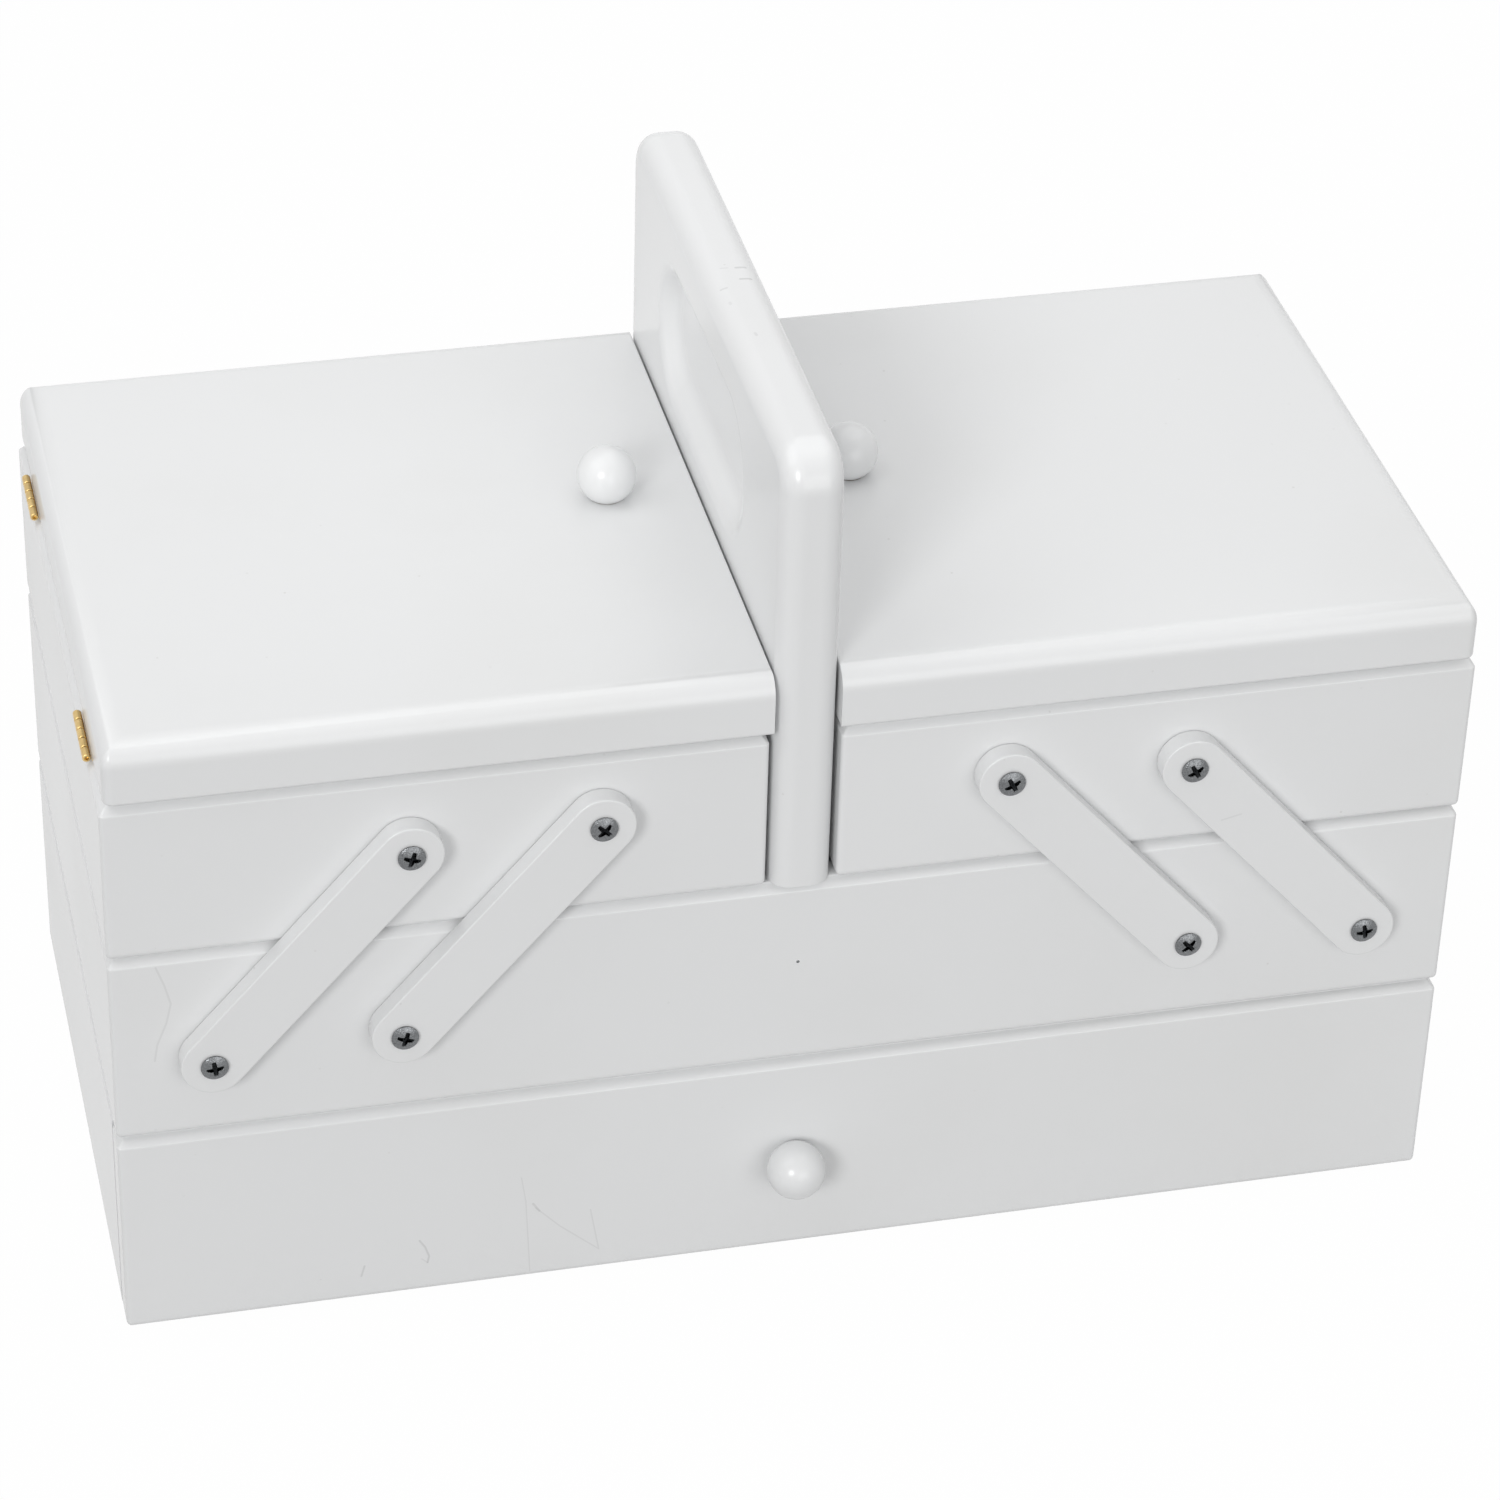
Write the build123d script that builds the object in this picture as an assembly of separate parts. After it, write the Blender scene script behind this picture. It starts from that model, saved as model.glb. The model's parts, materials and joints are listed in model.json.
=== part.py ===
from build123d import *
import os
from math import atan2, degrees, hypot, sqrt

# Cantilever sewing box: a base tier with a drawer, a fixed middle tier with an upright
# handle board, and two lidded trays that swing outwards on parallel links.
# Millimetres. X runs along the box, Y from front to back, Z up. The origin is the
# centre of the underside. Left is -X and front is -Y.

# Outside of the tiers
box_width = 400.0
box_depth = 200.0
base_height = 72.0
middle_height = 63.5
tray_height = 52.7
tray_rest_gap = 0.4
lid_seam = 0.6

# Boards and panels
wall = 10.0
tray_wall = 9.0
panel = 4.0
base_panel = 5.0
groove_depth = 4.0
groove_lift = 4.0
panel_clearance = 0.2

# Eased edges of the tiers
top_chamfer = 2.8
bottom_round = 2.0
corner_round = 1.5

# Lids
lid_thickness = 19.0
lid_overhang = 1.5
lid_hinge_inset = 1.3
lid_top_round = 7.0
lid_bottom_round = 1.2
lid_corner_round = 2.0
lid_inner_round = 0.9
lid_handle_gap = 0.7
tray_handle_gap = 1.5

# Handle board with a grip recess in each face
handle_thickness = 18.0
handle_height = 143.8
handle_overhang = 1.5
handle_corner_round = 13.0
handle_edge_round = 6.4
tongue_clearance = 0.15
recess_length = 112.0
recess_height = 44.0
recess_depth = 5.0
recess_floor_inset = 8.0
recess_floor_round = 6.0
recess_setback = 3.5
recess_below_top = 40.5

# Nails through the middle walls into the handle tongue
nail_diameter = 1.0
nail_length = 24.0
nail_sink = 0.2
nail_height = 35.4

# Links and their pivots: the lower pivots are on the middle tier, the upper ones on the trays
link_width = 19.0
link_thickness = 6.0
link_edge_round = 0.4
link_gap = 0.3
pivot_from_end = 28.3
pivot_spacing = 54.8
pivot_rise = 2.5
pivot_height = 27.5
link_reach = 57.5
link_climb = 65.3
pivot_clearance = 0.08

# Pivot screws
pivot_head_diameter = 8.0
pivot_head_height = 1.6
pivot_head_rim = 0.5
pivot_head_gap = 0.3
pivot_shank_diameter = 3.8
pivot_grip = 7.0
screw_tip = 2.5
pilot_clearance = 0.05
pilot_extra = 0.5

# Butt hinges of the lids
hinge_length = 23.5
hinge_from_end = 35.5
hinge_standoff = 0.1
knuckle_count = 5
knuckle_diameter = 2.5
knuckle_gap = 0.2
knuckle_clearance = 0.3
leaf_width = 7.5
leaf_thickness = 0.8
leaf_clearance = 0.15
pin_diameter = 1.0
pin_clearance = 0.05
hinge_screw_head = 3.6
hinge_screw_shank = 1.8
hinge_screw_length = 7.0
hinge_screw_spread = 13.5

# Ball knobs and their screws
knob_diameter = 17.6
knob_foot = 9.6
knob_from_middle = 36.6
knob_setback = 3.0
knob_screw_head = 7.0
knob_screw_head_height = 2.0
knob_screw_shank = 3.5
knob_screw_bite = 9.0
knob_hole_clearance = 0.2

# Drawer
drawer_front_thickness = 12.0
drawer_front_lift = 1.0
drawer_top_gap = 0.9
drawer_seat_gap = 0.5
drawer_wall = 9.0
drawer_side_clearance = 0.75
drawer_run_gap = 0.3
drawer_head_gap = 1.5
drawer_back_gap = 2.0
drawer_knob_height = 35.4

# Places worked out from the sizes
half_width = box_width / 2
half_depth = box_depth / 2
middle_top = base_height + middle_height
tray_bottom = middle_top + tray_rest_gap
tray_top = tray_bottom + tray_height
lid_bottom = tray_top + lid_seam
lid_top = lid_bottom + lid_thickness
handle_top = middle_top + handle_height
middle_floor_bottom = base_height + groove_lift
middle_floor_top = middle_floor_bottom + panel
half_handle = handle_thickness / 2
tray_inner = half_handle + tray_handle_gap
hinge_axis_x = half_width + hinge_standoff
hinge_axis_z = tray_top + lid_seam / 2
link_length = hypot(link_reach, link_climb)
link_angle = degrees(atan2(link_climb, link_reach))

SIDES = {"left": -1, "right": 1}
ENDS = {"front": -1, "back": 1}
PLACES = {"outer": 0, "inner": 1}


def block(x0, x1, y0, y1, z0, z1):
    """Plain block between the given limits."""
    centre = Pos((x0 + x1) / 2, (y0 + y1) / 2, (z0 + z1) / 2)
    return centre * Box(abs(x1 - x0), abs(y1 - y0), abs(z1 - z0))


def cylinder_along(direction, start, radius, length):
    """Round bar that leaves a start point along a direction."""
    return extrude(Plane(origin=start, z_dir=direction) * Circle(radius), amount=length)


def eased_profile(width, height, ease_top, top_size, round_bottom):
    """Upright rectangle whose top corners are eased one way and bottom corners rounded."""
    outline = Rectangle(width, height)
    outline = ease_top(outline.vertices().group_by(Axis.Y)[-1], top_size)
    return fillet(outline.vertices().group_by(Axis.Y)[0], round_bottom)


def eased_block(x0, x1, y0, y1, z0, z1, ease_top, top_size, round_bottom, round_corner):
    """Block as three crossing prisms, so that its eased edges meet in mitres."""
    width, depth, height = x1 - x0, y1 - y0, z1 - z0
    front_view = eased_profile(width, height, ease_top, top_size, round_bottom)
    side_view = eased_profile(depth, height, ease_top, top_size, round_bottom)
    across = extrude(Plane.XZ * front_view, depth, both=True)
    along = extrude(Plane.YZ * side_view, width, both=True)
    upright = extrude(Plane.XY * RectangleRounded(width, depth, round_corner), height, both=True)
    return Pos((x0 + x1) / 2, (y0 + y1) / 2, (z0 + z1) / 2) * (across & along & upright)


def tier_block(x0, x1, y0, y1, z0, z1):
    """Outside of a tier: chamfered top edges, rounded bottom edges, eased corners."""
    return eased_block(x0, x1, y0, y1, z0, z1, chamfer, top_chamfer, bottom_round, corner_round)


def head_screw(head_diameter, head_height, rim, shank_diameter, length):
    """Domed screw on +Z: the head's seat is at zero, the shank points down."""
    head, shank = head_diameter / 2, shank_diameter / 2
    rise = head_height - rim
    ball = (head**2 + rise**2) / (2 * rise)
    halfway = head_height - ball + sqrt(ball**2 - (head / 2) ** 2)
    side = Polyline((0, -length), (shank, -length + screw_tip), (shank, 0), (head, 0), (head, rim))
    dome = ThreePointArc((head, rim), (head / 2, halfway), (0, head_height))
    outline = make_face(Curve() + [side, dome, Line((0, head_height), (0, -length))])
    return revolve(Plane.XZ * outline, Axis.Z)


def place(shape, origin, direction):
    """Turn a piece that was made along +Z to point along a direction from an origin."""
    return Plane(origin=origin, z_dir=direction) * shape


def signed(side, near, far):
    """Two distances from the middle as an ordered pair of X values on one side."""
    return (side * near, side * far) if side > 0 else (side * far, side * near)


# Floor panels sit in grooves that are larger all round by the clearance
def panel_and_groove(x0, x1, y0, y1, z0, thickness):
    """Panel that reaches into the walls around an inside, and the groove that takes it."""
    reach = groove_depth - panel_clearance
    floor = block(x0 - reach, x1 + reach, y0 - reach, y1 + reach, z0, z0 + thickness)
    groove = block(x0 - groove_depth, x1 + groove_depth, y0 - groove_depth, y1 + groove_depth,
                   z0, z0 + thickness + panel_clearance)
    return floor, groove


def pivots(side, end):
    """Lower and upper pivot points of the two links at one corner, on the wall's face."""
    face = end * half_depth
    points = {}
    for name, step in PLACES.items():
        low_x = half_width - pivot_from_end - step * pivot_spacing
        low_z = base_height + pivot_height + step * pivot_rise
        low = (side * low_x, face, low_z)
        high = (side * (low_x - link_reach), face, low_z + link_climb)
        points[name] = (low, high)
    return points


def pivot_hole(point, end):
    """Pilot hole of a pivot screw in the wall that holds it."""
    depth = pivot_grip + pilot_extra
    return cylinder_along((0, -end, 0), point, pivot_shank_diameter / 2 + pilot_clearance, depth)


def pivot_screw(point, end):
    """Domed screw through a link into the wall behind it."""
    head_seat = link_gap + link_thickness + pivot_head_gap
    screw = head_screw(pivot_head_diameter, pivot_head_height, pivot_head_rim, pivot_shank_diameter,
                       head_seat + pivot_grip)
    x, y, z = point
    return place(screw, (x, y + end * head_seat, z), (0, end, 0))


def link_bar(low, high, end):
    """Flat bar with round ends, a hole at each pivot and softened outer edges."""
    y = low[1] + end * link_gap
    middle = ((low[0] + high[0]) / 2, y, (low[2] + high[2]) / 2)
    along = (high[0] - low[0], 0, high[2] - low[2])
    plane = Plane(origin=middle, x_dir=along, z_dir=(0, end, 0))
    bar = extrude(plane * SlotCenterToCenter(link_length, link_width), amount=link_thickness)
    outer_face = bar.faces().sort_by(Axis.Y)[-1 if end > 0 else 0]
    bar = fillet(outer_face.edges(), link_edge_round)
    hole = Circle(pivot_shank_diameter / 2 + pivot_clearance)
    ends = Pos(-link_length / 2, 0) * hole + Pos(link_length / 2, 0) * hole
    return bar - extrude(plane * ends, amount=link_thickness)


# Base tier: two sides, back and bottom around the drawer
def base_boards():
    front = -half_depth + drawer_front_thickness + drawer_seat_gap
    body = tier_block(-half_width, half_width, -half_depth, half_depth, 0, base_height)
    side = half_width - wall
    back = half_depth - wall
    reach = groove_depth - panel_clearance
    bottom = block(-side - reach, side + reach, front, back + reach, 0, base_panel)
    rebate = block(-side - groove_depth, side + groove_depth, -half_depth, back + groove_depth,
                   -base_panel, base_panel)
    boards = {
        "base_left_side": block(-half_width, -side, front, back, 0, base_height),
        "base_right_side": block(side, half_width, front, back, 0, base_height),
        "base_back": block(-half_width, half_width, back, half_depth, 0, base_height),
    }
    parts = {name: (body & slab) - rebate for name, slab in boards.items()}
    parts["base_bottom"] = bottom
    return parts


# Middle tier: four fixed walls, a grooved floor, the handle board and its nails
def nail(end):
    start = (0, end * (half_depth - nail_sink), base_height + nail_height)
    return cylinder_along((0, -end, 0), start, nail_diameter / 2, nail_length)


def nail_hole(end):
    start = (0, end * half_depth, base_height + nail_height)
    length = nail_sink + nail_length + pilot_extra
    return cylinder_along((0, -end, 0), start, nail_diameter / 2 + pilot_clearance, length)


def middle_boards():
    body = tier_block(-half_width, half_width, -half_depth, half_depth, base_height, middle_top)
    side = half_width - wall
    end_face = half_depth - wall
    floor, groove = panel_and_groove(-side, side, -end_face, end_face, middle_floor_bottom, panel)
    body -= groove
    parts = {"middle_floor": floor}
    for name, sign in SIDES.items():
        x0, x1 = signed(sign, side, half_width)
        parts[f"middle_{name}_wall"] = body & block(x0, x1, -end_face, end_face, base_height, middle_top)
    for name, sign in ENDS.items():
        y0, y1 = signed(sign, end_face, half_depth)
        board = body & block(-half_width, half_width, y0, y1, base_height, middle_top)
        holes = [pivot_hole(low, sign) for side_sign in SIDES.values()
                 for low, high in pivots(side_sign, sign).values()]
        parts[f"middle_{name}_wall"] = board - holes - nail_hole(sign)
    return parts


def grip_recess(side):
    """Oblong cove for the fingers, cut into one face of the handle board."""
    centre = (side * half_handle, recess_setback, handle_top - recess_below_top)
    mouth = Plane(origin=centre, x_dir=(0, 1, 0), z_dir=(-side, 0, 0))
    floor = mouth.offset(recess_depth)
    inset = 2 * recess_floor_inset
    wide = mouth * SlotOverall(recess_length, recess_height)
    narrow = floor * SlotOverall(recess_length - inset, recess_height - inset)
    cove = loft([wide.face(), narrow.face()])
    floor_face = cove.faces().sort_by(Axis.X)[0 if side > 0 else -1]
    return fillet(floor_face.edges(), recess_floor_round)


def handle_board():
    """Upright board with rounded edges that stands on the rims and has a tongue between the walls."""
    reach = half_depth + handle_overhang
    outline = Rectangle(2 * reach, handle_height + handle_corner_round)
    outline = fillet(outline.vertices().group_by(Axis.Y)[-1], handle_corner_round)
    foot = middle_top - handle_corner_round
    board = extrude(Plane.YZ * outline, half_handle, both=True)
    board = Pos(0, 0, (foot + handle_top) / 2) * board
    by_x = board.faces().sort_by(Axis.X)
    rims = [edge for face in (by_x[0], by_x[-1]) for edge in face.edges()
            if edge.center().Z > foot + handle_corner_round / 2]
    board = fillet(rims, min(handle_edge_round, 0.9 * half_handle))
    board &= block(-half_handle, half_handle, -reach, reach, middle_top, handle_top)
    for side in SIDES.values():
        board -= grip_recess(side)
    tongue_reach = half_depth - wall - tongue_clearance
    tongue = block(-half_handle, half_handle, -tongue_reach, tongue_reach, middle_floor_top, middle_top)
    board += tongue
    for end in ENDS.values():
        board -= nail_hole(end)
    return board


# Trays: four boards, a grooved bottom, pivot screws and the fixed half of the hinges
def hinge_centres():
    return [end * (half_depth - hinge_from_end) for end in ENDS.values()]


def knuckle_spans(first):
    """Every second knuckle of a hinge as spans along Y, counted from the hinge's middle."""
    pitch = hinge_length / knuckle_count
    starts = [-hinge_length / 2 + k * pitch for k in range(knuckle_count)]
    return [(start + knuckle_gap / 2, start + pitch - knuckle_gap / 2) for start in starts[first::2]]


def hinge_rods(side, y, spans, radius):
    """Round bars on the hinge axis over the given spans."""
    rods = []
    for a, b in spans:
        start = (side * hinge_axis_x, y + a, hinge_axis_z)
        rods.append(cylinder_along((0, 1, 0), start, radius, b - a))
    return Part() + rods


def hinge_screw_points(side, y, z):
    spread = hinge_screw_spread / 2
    x = side * (half_width - leaf_width / 2 - top_chamfer / 2)
    return [(x, y - spread, z), (x, y + spread, z)]


def hinge_screw(point, direction, clearance):
    """Countersunk screw whose head is flush with the leaf; with clearance it is its hole."""
    head = hinge_screw_head / 2 + clearance
    shank = hinge_screw_shank / 2 + clearance
    length = hinge_screw_length + clearance
    corners = [(0, 0), (head, 0), (shank, -leaf_thickness), (shank, -length), (0, -length)]
    outline = make_face(Polyline(*corners, close=True))
    return place(revolve(Plane.XZ * outline, Axis.Z), point, direction)


def hinge_leaf(side, y, z0, own, other, bore, screw_z, screw_direction):
    """Leaf plate with its own knuckles, notched round the knuckles of the other leaf."""
    x0, x1 = signed(side, half_width - leaf_width, hinge_axis_x)
    plate = block(x0, x1, y - hinge_length / 2, y + hinge_length / 2, z0, z0 + leaf_thickness)
    all_spans = [(-hinge_length / 2 - knuckle_gap, hinge_length / 2 + knuckle_gap)]
    room_spans = [(a - knuckle_gap / 2, b + knuckle_gap / 2) for a, b in other]
    room = hinge_rods(side, y, room_spans, knuckle_diameter / 2 + knuckle_clearance)
    leaf = plate - room + hinge_rods(side, y, own, knuckle_diameter / 2)
    leaf -= hinge_rods(side, y, all_spans, bore)
    for point in hinge_screw_points(side, y, screw_z):
        leaf -= hinge_screw(point, screw_direction, pilot_clearance)
    return leaf


def leaf_mortise(side, y, z0):
    """Shallow pocket that lets a leaf in flush."""
    x0, x1 = signed(side, half_width - leaf_width - leaf_clearance, hinge_axis_x)
    half = hinge_length / 2 + leaf_clearance
    return block(x0, x1, y - half, y + half, z0, z0 + leaf_thickness)


def tray_parts(side_name, side):
    x0, x1 = signed(side, tray_inner, half_width)
    body = tier_block(x0, x1, -half_depth, half_depth, tray_bottom, tray_top)
    in0, in1 = x0 + tray_wall, x1 - tray_wall
    end_face = half_depth - tray_wall
    floor, groove = panel_and_groove(in0, in1, -end_face, end_face, tray_bottom + groove_lift, panel)
    body -= groove
    prefix = f"{side_name}_tray"
    parts = {f"{prefix}_bottom": floor}
    outer = signed(side, half_width - tray_wall, half_width)
    inner = signed(side, tray_inner, tray_inner + tray_wall)
    outer_wall = body & block(*outer, -end_face, end_face, tray_bottom, tray_top)
    screws = []
    leaves = []
    pins = []
    for y in hinge_centres():
        outer_wall -= leaf_mortise(side, y, tray_top - leaf_thickness)
        leaves.append(hinge_leaf(side, y, tray_top - leaf_thickness, knuckle_spans(0), knuckle_spans(1),
                                 pin_diameter / 2, tray_top, (0, 0, 1)))
        pins += hinge_rods(side, y, [(-hinge_length / 2, hinge_length / 2)], pin_diameter / 2).solids()
        for point in hinge_screw_points(side, y, tray_top):
            outer_wall -= hinge_screw(point, (0, 0, 1), pilot_clearance)
            screws.append(hinge_screw(point, (0, 0, 1), 0))
    parts[f"{prefix}_outer_wall"] = outer_wall
    parts[f"{prefix}_inner_wall"] = body & block(*inner, -end_face, end_face, tray_bottom, tray_top)
    pivot_screws = []
    for end_name, end in ENDS.items():
        y0, y1 = signed(end, end_face, half_depth)
        board = body & block(x0, x1, y0, y1, tray_bottom, tray_top)
        for low, high in pivots(side, end).values():
            board -= pivot_hole(high, end)
            pivot_screws.append(pivot_screw(high, end))
        parts[f"{prefix}_{end_name}"] = board
    parts[f"{prefix}_pivot_screws"] = pivot_screws
    parts[f"{prefix}_hinge_leaves"] = leaves
    parts[f"{prefix}_hinge_pins"] = pins
    parts[f"{prefix}_hinge_screws"] = screws
    return parts


# Ball knob on +Z with its seat at zero, and the screw that holds it through a board
def ball_knob():
    ball, foot = knob_diameter / 2, knob_foot / 2
    centre = sqrt(ball**2 - foot**2)
    arc = ThreePointArc((foot, 0), (ball, centre), (0, centre + ball))
    outline = make_face(Curve() + [Line((0, 0), (foot, 0)), arc, Line((0, centre + ball), (0, 0))])
    knob = revolve(Plane.XZ * outline, Axis.Z)
    hole = knob_screw_shank / 2 + pilot_clearance
    return knob - cylinder_along((0, 0, 1), (0, 0, 0), hole, knob_screw_bite + pilot_extra)


def knob_hole(board_thickness):
    radius = knob_screw_shank / 2 + knob_hole_clearance
    return cylinder_along((0, 0, -1), (0, 0, 0), radius, board_thickness)


def knob_screw(board_thickness):
    """Screw whose head sits on the far side of the board and whose tip is in the knob."""
    screw = head_screw(knob_screw_head, knob_screw_head_height, pivot_head_rim, knob_screw_shank,
                       board_thickness + knob_screw_bite)
    return place(screw, (0, 0, -board_thickness), (0, 0, -1))


# Lids: a board with rounded top edges, a knob and the moving half of the hinges
def lid_board(side):
    """Board rounded over on three sides, whose edge along the handle is only eased."""
    near, far = half_handle + lid_handle_gap, half_width - lid_hinge_inset
    reach = half_depth + lid_overhang
    rounded = eased_block(*signed(side, near - lid_top_round, far), -reach, reach, lid_bottom, lid_top,
                          fillet, lid_top_round, lid_bottom_round, lid_corner_round)
    eased = eased_block(*signed(side, near, far + lid_top_round), -reach - lid_top_round, reach + lid_top_round,
                        lid_bottom, lid_top, fillet, lid_inner_round, lid_inner_round, lid_corner_round)
    return rounded & eased


def lid_parts(side_name, side):
    board = lid_board(side)
    seat = Pos(side * knob_from_middle, knob_setback, lid_top)
    board -= seat * knob_hole(lid_thickness)
    screws = []
    leaves = []
    for y in hinge_centres():
        board -= leaf_mortise(side, y, lid_bottom)
        leaves.append(hinge_leaf(side, y, lid_bottom, knuckle_spans(1), knuckle_spans(0),
                                 pin_diameter / 2 + pin_clearance, lid_bottom, (0, 0, -1)))
        for point in hinge_screw_points(side, y, lid_bottom):
            board -= hinge_screw(point, (0, 0, -1), pilot_clearance)
            screws.append(hinge_screw(point, (0, 0, -1), 0))
    prefix = f"{side_name}_lid"
    return {
        prefix: board,
        f"{prefix}_knob": seat * ball_knob(),
        f"{prefix}_knob_screw": seat * knob_screw(lid_thickness),
        f"{prefix}_hinge_leaves": leaves,
        f"{prefix}_hinge_screws": screws,
    }


# Drawer: an overlay front as wide as the box, and a grooved box behind it
def drawer_parts():
    front_face = -half_depth
    front_back = front_face + drawer_front_thickness
    side = half_width - wall - drawer_side_clearance
    back = half_depth - wall - drawer_back_gap
    low = base_panel + drawer_run_gap
    high = base_height - drawer_head_gap
    inside = side - drawer_wall
    inner_back = back - drawer_wall
    front = tier_block(-half_width, half_width, front_face, front_back,
                       drawer_front_lift, base_height - drawer_top_gap)
    floor, groove = panel_and_groove(-inside, inside, front_back, inner_back, low + groove_lift, panel)
    seat = Plane(origin=(0, front_face, drawer_knob_height), z_dir=(0, -1, 0))
    parts = {
        "drawer_front": front - groove - seat * knob_hole(drawer_front_thickness),
        "drawer_back": block(-inside, inside, inner_back, back, low, high) - groove,
        "drawer_bottom": floor,
        "drawer_knob": seat * ball_knob(),
        "drawer_knob_screw": seat * knob_screw(drawer_front_thickness),
    }
    for name, sign in SIDES.items():
        x0, x1 = signed(sign, inside, side)
        parts[f"drawer_{name}_side"] = block(x0, x1, front_back, back, low, high) - groove
    return parts


def link_parts():
    parts = {}
    for side_name, side in SIDES.items():
        for end_name, end in ENDS.items():
            for place_name, (low, high) in pivots(side, end).items():
                parts[f"{side_name}_{end_name}_{place_name}_link"] = link_bar(low, high, end)
    return parts


def all_parts():
    parts = {}
    parts.update(base_boards())
    parts.update(middle_boards())
    parts["handle_board"] = handle_board()
    parts["handle_nails"] = [nail(end) for end in ENDS.values()]
    parts["lower_pivot_screws"] = [pivot_screw(low, end) for side in SIDES.values() for end in ENDS.values()
                                   for low, high in pivots(side, end).values()]
    parts.update(drawer_parts())
    for side_name, side in SIDES.items():
        parts.update(tray_parts(side_name, side))
        parts.update(lid_parts(side_name, side))
    parts.update(link_parts())
    return parts


def solids_of(shape):
    """All separate solids of a piece or of a group of pieces."""
    pieces = shape if isinstance(shape, list) else [shape]
    return [solid for piece in pieces for solid in piece.solids()]


os.makedirs("parts", exist_ok=True)
for node, shape in all_parts().items():
    solids = solids_of(shape)
    export_step(solids[0] if len(solids) == 1 else Compound(children=solids), f"parts/{node}.step")
print(f"link length {link_length:.2f} mm, leaning {link_angle:.2f} degrees from level")
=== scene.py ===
"""Looks of a white lacquered cantilever sewing box, worked out around its fixed frame."""

import json
from math import cos, pi, radians, sin

import bmesh
import bpy
import numpy as np
from mathutils import Matrix, Vector


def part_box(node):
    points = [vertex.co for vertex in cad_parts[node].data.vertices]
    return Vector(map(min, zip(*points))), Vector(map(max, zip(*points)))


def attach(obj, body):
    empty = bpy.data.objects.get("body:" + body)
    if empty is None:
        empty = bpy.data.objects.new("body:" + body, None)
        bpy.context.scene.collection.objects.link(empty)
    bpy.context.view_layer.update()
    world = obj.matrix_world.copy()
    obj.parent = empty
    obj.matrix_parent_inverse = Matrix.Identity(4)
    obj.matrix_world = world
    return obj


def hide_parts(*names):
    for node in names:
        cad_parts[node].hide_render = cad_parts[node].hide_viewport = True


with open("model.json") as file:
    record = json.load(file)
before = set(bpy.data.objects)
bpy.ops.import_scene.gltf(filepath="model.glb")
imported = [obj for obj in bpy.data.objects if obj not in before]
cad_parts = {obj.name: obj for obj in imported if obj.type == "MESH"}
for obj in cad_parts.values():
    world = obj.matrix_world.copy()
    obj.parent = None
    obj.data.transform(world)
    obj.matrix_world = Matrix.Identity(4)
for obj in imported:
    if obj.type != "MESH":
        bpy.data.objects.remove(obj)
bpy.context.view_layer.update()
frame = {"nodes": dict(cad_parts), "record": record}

MM = 0.001
JOINTS = {joint["name"]: joint for joint in frame["record"]["behaviour"]["joints"]}
X, Y, Z = np.eye(3)
WALLS = ("front", "back", "left", "right")
SIDES = ("left", "right")
ENDS = ("front", "back")
PLACES = ("outer", "inner")

# Joining of meshes: points nearer than this merge, edges that bend more than this many degrees stay sharp
MERGE = 1e-7
SHARP_ANGLE = 38

# Eased edges, in metres
TIER_CHAMFER = 2.8 * MM
TRAY_CHAMFER = 3.5 * MM
TIER_CORNER = 1.5 * MM
TIER_FOOT_ROUND = 2.0 * MM
SANDED = 0.9 * MM
LID_ROUND = 7.0 * MM
LID_CORNER = 3.0 * MM
LID_FOOT_ROUND = 1.2 * MM
LID_INNER_ROUND = 0.9 * MM
LINK_ROUND = 0.4 * MM
HANDLE_CORNER = 13.0 * MM
HANDLE_ROUND = 6.4 * MM

# Grip recess of the handle board
GRIP_LENGTH = 112 * MM
GRIP_HEIGHT = 44 * MM
GRIP_DEPTH = 5.0 * MM
GRIP_SLOPE = 8.0 * MM
GRIP_SETBACK = 3.5 * MM
GRIP_RIM_ROUND = 8.0 * MM
GRIP_FLOOR_ROUND = 12.0 * MM
GRIP_LEAD = 6.0 * MM
GRIP_BELOW_TOP = 40.5 * MM

# Hardware
SCREW_HEAD = 8.0 * MM
SCREW_DOME = 1.6 * MM
SCREW_RIM = 0.5 * MM
SCREW_FOOT_EASE = 0.1 * MM
SHANK_RADIUS = 1.9 * MM
SHANK_LENGTH = 13.0 * MM
CROSS_LENGTH = 5.0 * MM
CROSS_WIDTH = 1.15 * MM
CROSS_DEPTH = 1.45 * MM
CROSS_EASE = 0.22 * MM
NAIL_RADIUS = 0.5 * MM
NAIL_FLAT = 0.35 * MM
NAIL_SHOULDER = 0.05 * MM
NAIL_CROWN = 0.06 * MM
NAIL_LENGTH = 3.0 * MM
HINGE_LENGTH = 23.5 * MM
LEAF_THICKNESS = 0.8 * MM
LEAF_GAP = 0.3 * MM
LEAF_CORNER = 0.6 * MM
KNUCKLES = 5
KNUCKLE = 1.25 * MM
KNUCKLE_ROUND = 0.35 * MM
KNUCKLE_GAP = 0.4 * MM
PIN_BORE = 0.62 * MM
PIN_STOP = 1.2 * MM
KNOB_FOOT = 4.8 * MM
SCREW_SEEDS = {"left": 5, "right": 8, "lower": 3}


def wall_of(outer_node, axis):
    """Thickness of a board along an axis."""
    low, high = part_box(outer_node)
    return high[axis] - low[axis]


def box_of(*nodes):
    """Lowest and highest corner of several nodes together."""
    boxes = [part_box(node) for node in nodes]
    low = np.min([np.array(b[0]) for b in boxes], axis=0)
    high = np.max([np.array(b[1]) for b in boxes], axis=0)
    return low, high


# Meshes: every new piece is a grid of points, rows by columns

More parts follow.
